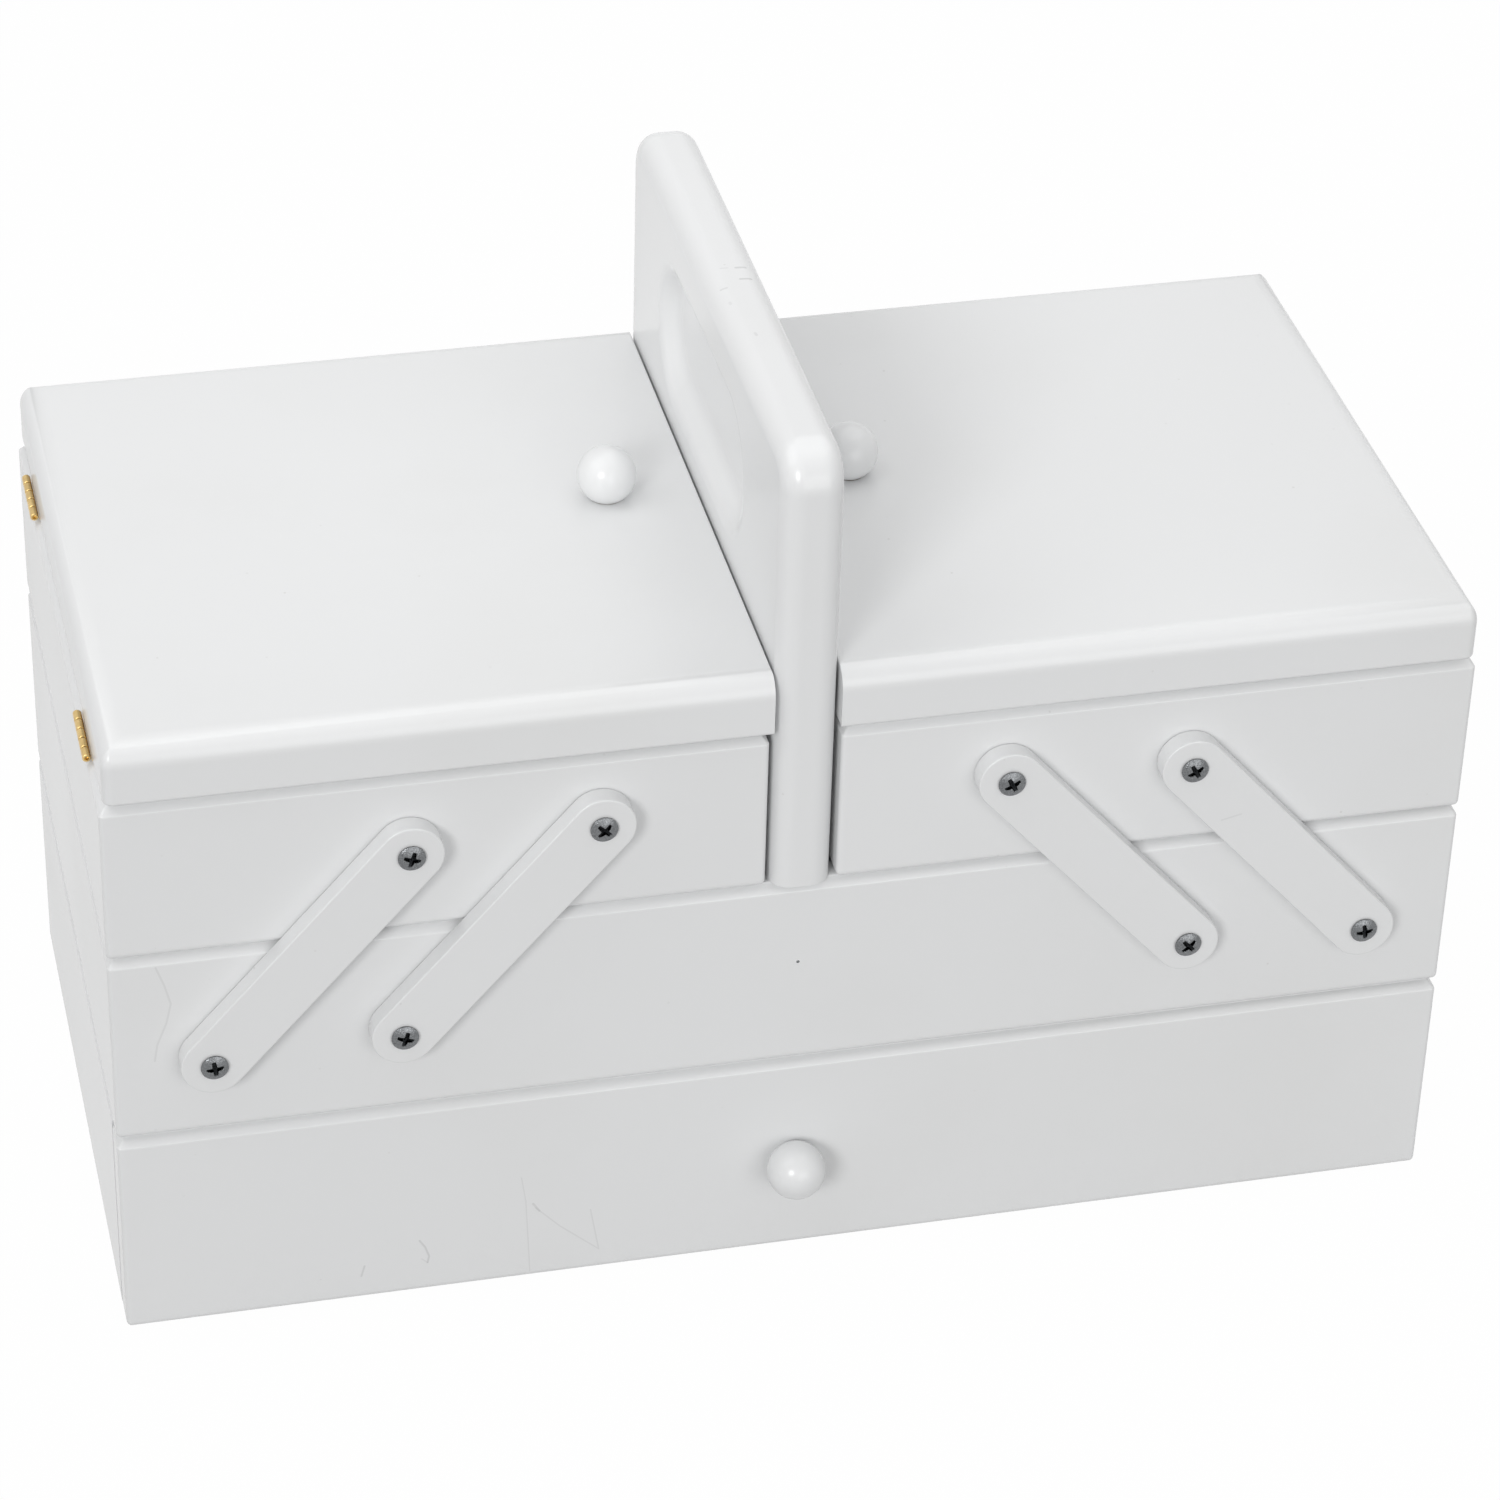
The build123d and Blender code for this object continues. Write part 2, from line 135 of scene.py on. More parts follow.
def finish_piece(name, grids, body, nodes, close_rows=False):
    """Join grids of points into one mesh: a quad joins each point to its next row and next column.

    Columns close on themselves; rows do too when close_rows is set. Points that fall together are merged.
    """
    points, quads, start = [], [], 0
    for grid in grids:
        rows, columns = grid.shape[:2]
        row = np.arange(rows if close_rows else rows - 1)[:, None]
        column = np.arange(columns)[None, :]
        next_row, next_column = (row + 1) % rows, (column + 1) % columns
        corners = [row * columns + column, row * columns + next_column,
                   next_row * columns + next_column, next_row * columns + column]
        quads.append(np.stack(np.broadcast_arrays(*corners), axis=-1).reshape(-1, 4) + start)
        points.append(grid.reshape(-1, 3))
        start += rows * columns
    mesh = bpy.data.meshes.new(name)
    mesh.from_pydata(np.concatenate(points).tolist(), [], np.concatenate(quads).tolist())
    shape = bmesh.new()
    shape.from_mesh(mesh)
    bmesh.ops.remove_doubles(shape, verts=shape.verts, dist=MERGE)
    bmesh.ops.dissolve_degenerate(shape, edges=shape.edges, dist=MERGE)
    bmesh.ops.recalc_face_normals(shape, faces=shape.faces)
    shape.to_mesh(mesh)
    shape.free()
    mesh.shade_smooth()
    mesh.set_sharp_from_angle(angle=radians(SHARP_ANGLE))
    piece = bpy.data.objects.new(name, mesh)
    bpy.context.scene.collection.objects.link(piece)
    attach(piece, body)
    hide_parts(*nodes)
    return piece


def rounded_path(corners, radii, closed=False, steps=7, lead=0.3 * MM):
    """Path through corners, each one rounded by an arc of its radius.

    An arc of radius r turns through the corner's angle about a centre on its bisector. A point a short lead
    before and after each arc keeps the flats flat.
    """
    corners = np.asarray(corners, float)
    path = []
    for k, corner in enumerate(corners):
        ends = not closed and k in (0, len(corners) - 1)
        if ends or radii[k] == 0:
            path.append(corner[None])
            continue
        before = corners[k - 1] - corner
        after = corners[(k + 1) % len(corners)] - corner
        long_before, long_after = np.linalg.norm(before), np.linalg.norm(after)
        before, after = before / long_before, after / long_after
        half = np.arccos(np.clip(before @ after, -1, 1)) / 2
        reach = radii[k] / np.tan(half)
        bisector = (before + after) / np.linalg.norm(before + after)
        centre = corner + bisector * radii[k] / np.sin(half)
        turn = np.linspace(-(pi / 2 - half), pi / 2 - half, steps)[:, None]
        across = after - bisector * (after @ bisector)
        across = across / np.linalg.norm(across)
        arc = centre + radii[k] * (-np.cos(turn) * bisector + np.sin(turn) * across)
        lead_in = corner + before * (reach + min(lead, max(long_before - reach, 0) / 4))
        lead_out = corner + after * (reach + min(lead, max(long_after - reach, 0) / 4))
        path += [lead_in[None], arc, lead_out[None]]
    return np.concatenate(path)


def rectangle_loop(half_a, half_b, corner, steps=9):
    """Family of rounded rectangles: the one at inset d has corner arcs of radius max(corner - d, 0)."""
    angle = np.linspace(0, pi / 2, steps)
    turn = np.concatenate([angle + quarter * pi / 2 for quarter in range(4)])
    sign_a = np.repeat([1, -1, -1, 1], steps)
    sign_b = np.repeat([1, 1, -1, -1], steps)

    def loop(inset):
        hold = max(corner, inset)
        radius = max(corner - inset, 0)
        a = sign_a * max(half_a - hold, 0) + radius * np.cos(turn)
        b = sign_b * max(half_b - hold, 0) + radius * np.sin(turn)
        return np.stack([a, b], axis=-1)
    return loop


def slot_loop(length, width, steps=25):
    """Family of obrounds: two half circles of radius width / 2 - d joined by straight sides."""
    angle = np.linspace(-pi / 2, pi / 2, steps)
    turn = np.concatenate([angle, angle + pi])
    side = np.repeat([1, -1], steps) * (length - width) / 2

    def loop(inset):
        radius = max(width / 2 - inset, 0)
        return np.stack([side + radius * np.cos(turn), radius * np.sin(turn)], axis=-1)
    return loop


def carried(loop, profile, origin, across, up, out):
    """Profile of (inset, height) pairs carried round a loop: origin + a across + b up + height out."""
    rows = [origin + a_b @ np.stack([across, up]) + height * out
            for a_b, height in ((loop(inset), height) for inset, height in profile)]
    return np.stack(rows)


def turned(profile, origin, axis, steps=48):
    """Profile of (radius, height) pairs turned about an axis."""
    axis = np.asarray(axis, float)
    first = X if abs(axis[0]) < 0.9 else Y
    first = first - axis * (first @ axis)
    first = first / np.linalg.norm(first)
    second = np.cross(axis, first)
    angle = np.arange(steps) * 2 * pi / steps
    ring = np.cos(angle)[:, None] * first + np.sin(angle)[:, None] * second
    profile = np.asarray(profile)
    return origin + profile[:, 0, None, None] * ring[None] + profile[:, 1, None, None] * axis


# Wooden pieces

def tier_shell(name, body, nodes, wall, chamfer=TIER_CHAMFER):
    """Four lacquered walls: the wall's section carried round the tier's outline.

    The section has a rounded foot, a chamfered outer top edge and sanded inner edges.
    """
    low, high = box_of(*nodes)
    centre = (low + high) / 2
    half = (high - low) / 2
    bottom, top = -half[2], half[2]
    section = rounded_path(
        [(0, bottom), (0, top - chamfer), (chamfer, top), (wall, top), (wall, bottom)],
        [TIER_FOOT_ROUND, SANDED, SANDED, SANDED, SANDED / 2], closed=True)
    loop = rectangle_loop(half[0], half[1], TIER_CORNER)
    grid = carried(loop, section, centre, X, Y, Z)
    return finish_piece(name, [grid], body, nodes, close_rows=True)


def lid_board(side):
    """Lid: a profile with a wide rounded top edge carried round its outline and closed over the middle.

    The outline runs on past the handle and is cut off there at x = edge - ease. The ease follows a small arc
    r - sqrt(r^2 - (r - d)^2) within r of the top and bottom, d being the distance to the nearer of the two.
    """
    low, high = box_of(f"{side}_lid")
    inward = 1 if side == "left" else -1
    edge = high[0] if side == "left" else low[0]
    centre, half = (low + high) / 2, (high - low) / 2
    centre[0] += inward * LID_ROUND / 2
    half[0] += LID_ROUND / 2
    inner = min(half[0], half[1])
    profile = rounded_path(
        [(inner, -half[2]), (0, -half[2]), (0, half[2]), (inner, half[2])],
        [0, LID_FOOT_ROUND, LID_ROUND, 0], steps=15)
    grid = carried(rectangle_loop(half[0], half[1], LID_CORNER), profile, centre, X, Y, Z)
    depth = half[2] - np.abs(grid[..., 2] - centre[2])
    short = np.clip(LID_INNER_ROUND - depth, 0, LID_INNER_ROUND)
    ease = LID_INNER_ROUND - np.sqrt(LID_INNER_ROUND**2 - short**2)
    grid[..., 0] = inward * np.minimum(inward * grid[..., 0], inward * edge - ease)
    return finish_piece(f"{side}_lid_board", [grid], f"{side}_lid", [f"{side}_lid"])


def drawer_panel():
    """Drawer front: rounded foot and chamfered top, carried round its thin outline."""
    low, high = box_of("drawer_front")
    centre, half = (low + high) / 2, (high - low) / 2
    inner = half[1]
    bottom, top = -half[2], half[2]
    profile = rounded_path(
        [(inner, bottom), (0, bottom), (0, top - TIER_CHAMFER), (TIER_CHAMFER, top), (inner, top)],
        [0, TIER_FOOT_ROUND, SANDED, SANDED, 0])
    grid = carried(rectangle_loop(half[0], half[1], TIER_CORNER), profile, centre, X, Y, Z)
    return finish_piece("drawer_front_panel", [grid], "drawer", ["drawer_front"])


def handle_piece():
    """Handle board: edge rounding carried round the outline, each face led inwards to the grip recess.

    The outline runs below the rims and is then held at the foot, which closes the board flat. The ring
    between the outline and the recess is flat; the recess is a cove of obrounds that ends in a flat floor.
    """
    low, high = box_of("handle_board")
    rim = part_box("middle_front_wall")[1][2]
    top, half_y, half_x = high[2], (high[1] - low[1]) / 2, (high[0] - low[0]) / 2
    steps = 40
    below = HANDLE_CORNER
    centre_z = (top + rim - below) / 2
    outline = rectangle_loop(half_y, (top - rim + below) / 2, HANDLE_CORNER, steps=steps)
    grip = slot_loop(GRIP_LENGTH, GRIP_HEIGHT, steps=2 * steps)
    grip_z = top - GRIP_BELOW_TOP

    def ring(flat, x, y, z):
        rows = np.stack([np.full(len(flat), x), flat[:, 0] + y, flat[:, 1] + z], axis=-1)
        rows[:, 2] = np.maximum(rows[:, 2], rim)
        return rows

    grip_start = np.roll(np.arange(4 * steps), -steps)
    cove = rounded_path(
        [(-GRIP_LEAD, 0), (0, 0), (GRIP_SLOPE, GRIP_DEPTH), (GRIP_HEIGHT / 2, GRIP_DEPTH)],
        [0, GRIP_RIM_ROUND, GRIP_FLOOR_ROUND, 0], steps=11)[1:]
    edge = rounded_path([(HANDLE_ROUND * 3, half_x), (0, half_x), (0, 0)], [0, HANDLE_ROUND, 0], steps=13)
    inner_rows = [ring(grip(inset)[grip_start], half_x - depth, GRIP_SETBACK, grip_z)
                  for inset, depth in cove[::-1]]
    outer_rows = [ring(outline(inset), x, 0, centre_z) for inset, x in edge[1:]]
    half_board = np.stack(inner_rows + outer_rows)
    mirrored = half_board[::-1] * np.array([-1, 1, 1])
    board = np.concatenate([half_board, mirrored[1:]])
    return finish_piece("handle_grip_board", [board], "carcass", ["handle_board"])


def link_piece(side, end, place):
    """Link: an obround bar from pivot to pivot with softened outer edges."""
    node = f"{side}_{end}_{place}_link"
    low, high = box_of(node)
    pivot = np.array(JOINTS[f"{side}_{end}_{place}_swing"]["pos_m"])
    centre, half = (low + high) / 2, (high - low) / 2
    along = (centre - pivot) * np.array([1, 0, 1])
    reach = np.linalg.norm(along)
    along = along / reach
    out = Y if end == "back" else -Y
    up = np.cross(out, along)
    width = 2 * (half[2] - abs(reach * along[2]))
    profile = rounded_path(
        [(width / 2, -half[1]), (0, -half[1]), (0, half[1]), (width / 2, half[1])],
        [0, LINK_ROUND / 2, LINK_ROUND, 0], steps=6)
    grid = carried(slot_loop(2 * reach + width, width), profile, centre, along, up, out)
    return finish_piece(f"{node}_bar", [grid], node, [node])


def knob_piece(name, body, node, axis):
    """Ball knob: a circle cut off flat at its foot, turned about its axis."""
    low, high = box_of(node)
    centre, half = (low + high) / 2, (high - low) / 2
    axis = np.asarray(axis, float)
    ball = max(half)
    seat = centre - axis * (np.abs(axis) @ half)
    lift = np.sqrt(ball**2 - KNOB_FOOT**2)
    angle = np.linspace(-np.arcsin(lift / ball), pi / 2, 40)
    curve = np.stack([ball * np.cos(angle), lift + ball * np.sin(angle)], axis=-1)
    profile = np.concatenate([[(0, 0), (KNOB_FOOT - SANDED / 3, 0)], curve])
    return finish_piece(name, [turned(profile, seat, axis, 72)], body, [node])


# Metal pieces

def cross_head(seat, axis, turn):
    """Domed screw head with a cross recess, as heights over a disc.

    height = dome(r) - depth; the recess is two crossed arms that are widest and deepest in the middle.
    The rings of points lie closer together over the cross.
    """
    axis = np.asarray(axis, float)
    first = Z
    second = np.cross(axis, first)
    head = SCREW_HEAD / 2
    rise = SCREW_DOME - SCREW_RIM
    ball = (head**2 + rise**2) / (2 * rise)
    around = 96
    past_cross = CROSS_LENGTH / 2 * 1.15
    radius = np.concatenate([np.linspace(0, past_cross, 26), np.linspace(past_cross, head, 12)[1:]])
    angle = np.arange(around) * 2 * pi / around
    r, t = radius[:, None], angle[None, :] + 0 * radius[:, None]
    dome = SCREW_DOME - ball + np.sqrt(ball**2 - r**2)
    a, b = r * np.cos(t - turn), r * np.sin(t - turn)

    def arm(along, across):
        end = np.clip(1 - np.abs(along) / (CROSS_LENGTH / 2), 0, 1)
        half_width = CROSS_WIDTH / 2 * (0.75 + 0.5 * end)
        side = np.clip((half_width - np.abs(across)) / CROSS_EASE + 0.5, 0, 1)
        return side * side * (3 - 2 * side) * CROSS_DEPTH * np.sqrt(end)

    height = dome - np.maximum(arm(a, b), arm(b, a))
    ring = r[..., None] * (np.cos(t)[..., None] * first + np.sin(t)[..., None] * second)
    cap = seat + ring + height[..., None] * axis
    rim = [(head, SCREW_RIM), (head, SCREW_RIM / 2), (head - SCREW_FOOT_EASE, 0), (0, 0)]
    return cap, turned(rim, seat, axis, around)


def pivot_screws(name, body, node, points, seed):
    """All visible pivot screws of one body, each with its cross turned its own way."""
    chance = np.random.default_rng(seed)
    low, high = box_of(node)
    shank = [(0, 0), (SHANK_RADIUS, 0), (SHANK_RADIUS, -SHANK_LENGTH), (0, -SHANK_LENGTH)]
    grids = []
    for x, z in points:
        for end, y in ((-1, low[1]), (1, high[1])):
            seat = np.array([x, y - end * SCREW_DOME, z])
            cap, skirt = cross_head(seat, end * Y, chance.uniform(0, pi / 2))
            grids += [cap, skirt, turned(shank, seat, end * Y, 24)]
    piece = finish_piece(name, grids, body, [node])
    mark_recess(piece, points, low[1], high[1])
    return piece


def mark_recess(piece, points, front, back):
    """Attribute "recess" on each point of the mesh: 1 where it lies in a cross, 0 on the dome; the screw
    finish paints shade where it is 1.
    """
    mesh = piece.data
    place = np.empty(3 * len(mesh.vertices))
    mesh.vertices.foreach_get("co", place)
    place = place.reshape(-1, 3)
    sunk = np.where(place[:, 1] < 0, place[:, 1] - front, back - place[:, 1])
    radius = np.min([np.hypot(place[:, 0] - x, place[:, 2] - z) for x, z in points], axis=0)
    dome = SCREW_DOME - SCREW_RIM
    fall = dome * (radius / (SCREW_HEAD / 2)) ** 2
    deep = np.clip((sunk - fall) / (CROSS_DEPTH / 2), 0, 1) * (radius < CROSS_LENGTH / 2)
    mesh.attributes.new("recess", "FLOAT", "POINT").data.foreach_set("value", deep.astype(np.float32))


def nail_heads():
    """Nail heads in the middle walls: flat discs with an eased rim, almost flush with the lacquer."""
    low, high = box_of("handle_nails")
    walls = box_of("middle_front_wall", "middle_back_wall")
    middle = (low + high) / 2
    profile = [(0, NAIL_CROWN), (NAIL_FLAT, NAIL_SHOULDER), (NAIL_RADIUS, 0), (NAIL_RADIUS, -NAIL_LENGTH),
               (0, -NAIL_LENGTH)]
    grids = [turned(profile, np.array([middle[0], walls[0][1], middle[2]]), -Y, 24),
             turned(profile, np.array([middle[0], walls[1][1], middle[2]]), Y, 24)]
    return finish_piece("nail_heads", grids, "carcass", ["handle_nails"])


def hinge_leaves(name, body, nodes, own, plate_above):
    """Hinge halves of one body: a thin plate and knuckles, each knuckle a turned tube with eased ends.

    The outermost ends are hollow, as the pin stops short of them.
    """
    low, high = box_of(nodes[0])
    side = 1 if low[0] > 0 else -1
    axis_x = side * max(abs(low[0]), abs(high[0])) - side * KNUCKLE
    axis_z = (low[2] + high[2]) / 2
    inner_x = side * min(abs(low[0]), abs(high[0]))
    pitch = HINGE_LENGTH / KNUCKLES
    long = pitch - KNUCKLE_GAP
    hollow = [(0, PIN_STOP), (PIN_BORE, PIN_STOP), (PIN_BORE, 0)]
    plate_z = axis_z + (LEAF_GAP + LEAF_THICKNESS / 2) * (1 if plate_above else -1)
    plate_end = axis_x - side * (KNUCKLE + LEAF_GAP)
    half = np.array([abs(plate_end - inner_x) / 2, HINGE_LENGTH / 2, LEAF_THICKNESS / 2])
    plate = [(half[0], -half[2]), (0, -half[2]), (0, half[2]), (half[0], half[2])]
    outline = rectangle_loop(half[0], half[1], LEAF_CORNER, 4)
    grids = []
    for centre_y in (low[1] + HINGE_LENGTH / 2, high[1] - HINGE_LENGTH / 2):
        for k in range(own, KNUCKLES, 2):
            start = centre_y - HINGE_LENGTH / 2 + k * pitch + KNUCKLE_GAP / 2
            mouth = hollow if k == 0 else [(0, 0)]
            far_mouth = [(r, long - depth) for r, depth in hollow[::-1]] if k == KNUCKLES - 1 else [(0, long)]
            corners = mouth + [(KNUCKLE, 0), (KNUCKLE, long)] + far_mouth
            radii = [0] * len(mouth) + [KNUCKLE_ROUND] * 2 + [0] * len(far_mouth)
            profile = rounded_path(corners, radii, steps=5, lead=0.1 * MM)
            grids.append(turned(profile, np.array([axis_x, start, axis_z]), Y, 32))
        place = np.array([(plate_end + inner_x) / 2, centre_y, plate_z])
        grids.append(carried(outline, plate, place, X, Y, Z))
    return finish_piece(name, grids, body, nodes)


# Materials: arithmetic on sockets adds the nodes

class Socket:
    """An output of a finish's node tree; operators on it add Math nodes."""

    def __init__(self, finish, output):
        self.finish = finish
        self.output = output

    def math(self, operation, first, second):
        return self.finish.node("ShaderNodeMath", {"operation": operation}, {0: first, 1: second})

    def __add__(self, other):
        return self.math("ADD", self, other)

    def __radd__(self, other):
        return self.math("ADD", other, self)

    def __sub__(self, other):
        return self.math("SUBTRACT", self, other)

    def __rsub__(self, other):
        return self.math("SUBTRACT", other, self)

    def __mul__(self, other):
        return self.math("MULTIPLY", self, other)

    def __rmul__(self, other):
        return self.math("MULTIPLY", other, self)


class Finish:
    """A material with one Principled shader whose sockets take constants or worked-out values."""

    def __init__(self, name, **constants):
        self.material = bpy.data.materials.new(name)
        self.material.use_nodes = True
        self.nodes = self.material.node_tree.nodes
        self.links = self.material.node_tree.links
        self.shader = self.nodes["Principled BSDF"]
        for socket, value in constants.items():
            self.shader.inputs[socket.replace("_", " ")].default_value = value

    def node(self, kind, settings, inputs, output=0):
        """Add a node: settings first, then a value or a link for each named socket."""
        made = self.nodes.new(kind)
        for key, value in settings.items():
            setattr(made, key, value)
        for key, value in inputs.items():
            if isinstance(value, Socket):
                self.links.new(value.output, made.inputs[key])
            else:
                made.inputs[key].default_value = value
        return Socket(self, made.outputs[output])

    def place(self):
        """Position on the object, in metres."""
        return self.node("ShaderNodeTexCoord", {}, {}, "Object")

    def noise(self, per_metre, detail=3.0, stretch=(1, 1, 1)):
        """Smooth noise, about per_metre blotches in a metre."""
        place = self.node("ShaderNodeMapping", {}, {"Vector": self.place(), "Scale": stretch})
        return self.node("ShaderNodeTexNoise", {}, {"Vector": place, "Scale": per_metre, "Detail": detail})

    def step(self, value, low, high):
        """Smooth step from 0 at low to 1 at high."""
        return self.node("ShaderNodeMapRange", {"interpolation_type": "SMOOTHSTEP"},
                         {"Value": value, "From Min": low, "From Max": high})

    def blend(self, factor, first, second):
        """Colour between two colours."""
        return self.node("ShaderNodeMix", {"data_type": "RGBA"}, {"Factor": factor, 6: first, 7: second}, 2)

    def vector(self, operation, first, second, output=0):
        """Vector Math on two vectors; output 1 is a number."""
        return self.node("ShaderNodeVectorMath", {"operation": operation}, {0: first, 1: second}, output)

    def segment_distance(self, start, end):
        """Distance from the segment between two points: |p - a - t (b - a)| with t held to 0..1."""
        start, end = np.array(start) * MM, np.array(end) * MM
        along = end - start
        from_start = self.vector("SUBTRACT", self.place(), start.tolist())
        share = self.vector("DOT_PRODUCT", from_start, (along / (along @ along)).tolist(), 1)
        share = self.node("ShaderNodeClamp", {}, {"Value": share})
        foot = self.node("ShaderNodeVectorMath", {"operation": "SCALE"}, {0: along.tolist(), "Scale": share})
        return self.vector("DISTANCE", from_start, foot, 1)

    def stroke(self, points, width):
        """Mark along a path of points in millimetres: 1 on the path, 0 from half its width."""
        distance = self.segment_distance(points[0], points[1])
        for start, end in zip(points[1:-1], points[2:]):
            distance = distance.math("MINIMUM", distance, self.segment_distance(start, end))
        return 1 - self.step(distance, width * MM / 4, width * MM / 2)

    def seat_ring(self, seat, axis, reach, height):
        """Mark round a knob's seat, within a reach of its centre and a height along its axis."""
        offset = self.vector("SUBTRACT", self.place(), (np.array(seat) * MM).tolist())
        lift = self.vector("DOT_PRODUCT", offset, axis, 1)
        far = self.node("ShaderNodeVectorMath", {"operation": "LENGTH"}, {0: offset}, 1)
        near = 1 - self.step(far, (reach - 0.5) * MM, reach * MM)
        return near * (1 - self.step(lift, height * MM / 2, height * MM))

    def feed(self, **values):
        """Link worked-out values to the shader."""
        for socket, value in values.items():
            self.links.new(value.output, self.shader.inputs[socket.replace("_", " ")])

    def bump(self, height, strength, distance):
        """Normal tilted by a height."""
        return self.node("ShaderNodeBump", {}, {"Height": height, "Strength": strength, "Distance": distance})


WHITE = (0.80, 0.806, 0.81, 1)
SOILED = (0.755, 0.757, 0.75, 1)
DUST = (0.50, 0.49, 0.47, 1)
SCUFF = (0.36, 0.36, 0.36, 1)
# Brown of bare wood, also used as painted contact shade round the knobs' feet
BARE_WOOD_AND_CONTACT_SHADE = (0.20, 0.125, 0.06, 1)
BRIGHT_BRASS = (0.83, 0.62, 0.28, 1)
STAINED_BRASS = (0.50, 0.34, 0.13, 1)
PLATING = (0.30, 0.31, 0.32, 1)
# Near black in the plating's grains, a painted dark reflection
PAINTED_DARK_REFLECTION = (0.04, 0.042, 0.045, 1)
# Near black painted as shade in the screws' cross recesses
PAINTED_RECESS_SHADE = (0.012, 0.013, 0.014, 1)

# Marks of use as paths of points on the lacquer, in millimetres, each with its width and strength
SCRATCHES = [
    ([(-112.5, -100, 20.3), (-110.9, -100, 17.7), (-109.7, -100, 14.0), (-110.2, -100, 11.6)], 0.8, 0.30),
    ([(-110.2, -100, 11.6), (-111.9, -100, 13.2)], 0.6, 0.16),
    ([(-129.1, -100, 13.3), (-130.1, -100, 9.6)], 0.8, 0.26),
    ([(-81.8, -100, 39.4), (-80.5, -100, 30.4), (-79.5, -100, 8.3), (-79.3, -100, 3.2)], 0.5, 0.16),
    ([(-77.5, -100, 27.3), (-70.1, -100, 19.1), (-58.3, -100, 8.4), (-60.9, -100, 24.0)], 0.6, 0.17),
    ([(-78.3, -100, 29.0), (-76.4, -100, 26.0)], 0.9, 0.26),
    ([(-186.4, -100, 131.9), (-184.2, -100, 125.4), (-182.6, -100, 118.7), (-184.1, -100, 112.0),
      (-187.0, -100, 104.6), (-187.9, -100, 99.0)], 0.8, 0.16),
    ([(123.9, -106.3, 145.6), (129.7, -106.3, 147.0)], 0.7, 0.16),
    ([(-3.0, 6.3, 279.3), (-1.0, 6.2, 279.3)], 0.9, 0.14),
    ([(1.5, 5.9, 279.3), (4.1, 5.8, 279.0)], 1.4, 0.34),
    ([(1.3, -0.8, 279.3), (4.2, -1.0, 279.0)], 1.3, 0.36),
    ([(-5.5, -5.0, 278.8), (-3.8, -5.0, 279.2)], 1.2, 0.22),
    ([(-4.7, -13.0, 279.0), (-4.6, -14.0, 279.0)], 1.2, 0.14),
    ([(-1.6, -32.0, 279.3), (-1.5, -33.2, 279.3)], 1.2, 0.20),
]

# Lacquer worn to bare wood round the knobs, with painted contact shade at their feet: node, axis and
# strength, and the mark's reach and height in millimetres
WORN_AND_SHADED_SEATS = [
    ("right_lid_knob", (0, 0, 1), 0.95),
    ("left_lid_knob", (0, 0, 1), 0.5),
    ("drawer_knob", (0, -1, 0), 0.4),
]
SEAT_REACH = 5.3
SEAT_HEIGHT = 0.55


def lacquer(name):
    """Satin white lacquer with uneven tone and gloss, orange peel, dust, scratches, and knob seats worn to
    bare wood and darkened with painted contact shade.
    """
    finish = Finish(name, Specular_IOR_Level=0.5)
    cloud = finish.noise(per_metre=9, detail=4)
    peel = finish.noise(per_metre=700, detail=2)
    tone = finish.blend(finish.step(cloud, 0.45, 0.75) * 0.4, WHITE, SOILED)
    cells = finish.node("ShaderNodeTexVoronoi", {}, {"Vector": finish.place(), "Scale": 130.0}, "Distance")
    dust = (1 - finish.step(cells, 0.03, 0.07)) * finish.step(finish.noise(per_metre=60, detail=1), 0.5, 0.7)
    tone = finish.blend(dust * 0.32, tone, DUST)
    for points, width, strength in SCRATCHES:
        tone = finish.blend(finish.stroke(points, width) * strength, tone, SCUFF)
    patchy = finish.step(finish.noise(per_metre=330, detail=2), 0.42, 0.58)
    # Ring round each knob's foot: partly lacquer worn to bare wood, partly painted contact shade
    for node, axis, strength in WORN_AND_SHADED_SEATS:
        low, high = box_of(node)
        seat = (low + high - np.abs(axis) * (high - low) * np.sign(sum(axis))) / 2 / MM
        worn_and_shade = finish.seat_ring(seat.tolist(), axis, SEAT_REACH, SEAT_HEIGHT) * (0.45 + 0.55 * patchy)
        tone = finish.blend(worn_and_shade * strength, tone, BARE_WOOD_AND_CONTACT_SHADE)
    finish.feed(Base_Color=tone, Roughness=0.20 + cloud * 0.10, Normal=finish.bump(peel, 0.08, 0.0001))
    return finish.material


def panel_paint(name):
    """Thin matt paint on plywood: dull, with a little of the grain in its tone."""
    finish = Finish(name, Specular_IOR_Level=0.35)
    grain = finish.noise(per_metre=120, detail=4, stretch=(1, 8, 8))
    finish.feed(Base_Color=finish.blend(grain * 0.5, WHITE, SOILED), Roughness=0.5 + grain * 0.15,
                Normal=finish.bump(grain, 0.15, 0.0002))
    return finish.material


def brass(name):
    """Rolled brass, brighter and darker in small stains."""
    finish = Finish(name, Metallic=1.0)
    stain = finish.noise(per_metre=420, detail=3)
    finish.feed(Base_Color=finish.blend(stain, BRIGHT_BRASS, STAINED_BRASS), Roughness=0.18 + stain * 0.25)
    return finish.material


def dark_chrome(name):
    """Granular grey plating whose near-black grains are a painted dark reflection, with painted shade in the
    cross of a screw.
    """
    finish = Finish(name, Metallic=1.0)
    grit = finish.noise(per_metre=2600, detail=2)
    recess = finish.node("ShaderNodeAttribute", {"attribute_name": "recess"}, {}, "Fac")
    # The near-black grains of the plating are a painted dark reflection
    plating = finish.blend(grit, PLATING, PAINTED_DARK_REFLECTION)
    # Painted shade in the cross, deeper where the recess is deeper
    finish.feed(Base_Color=finish.blend(finish.step(recess, 0.1, 0.6), plating, PAINTED_RECESS_SHADE),
                Roughness=0.16 + grit * 0.18, Normal=finish.bump(grit, 0.5, 0.0002))
    return finish.material


def dress(objects, material):
    """Give each object one material."""
    for piece in objects:
        piece.data.materials.clear()
        piece.data.materials.append(material)


# The pieces

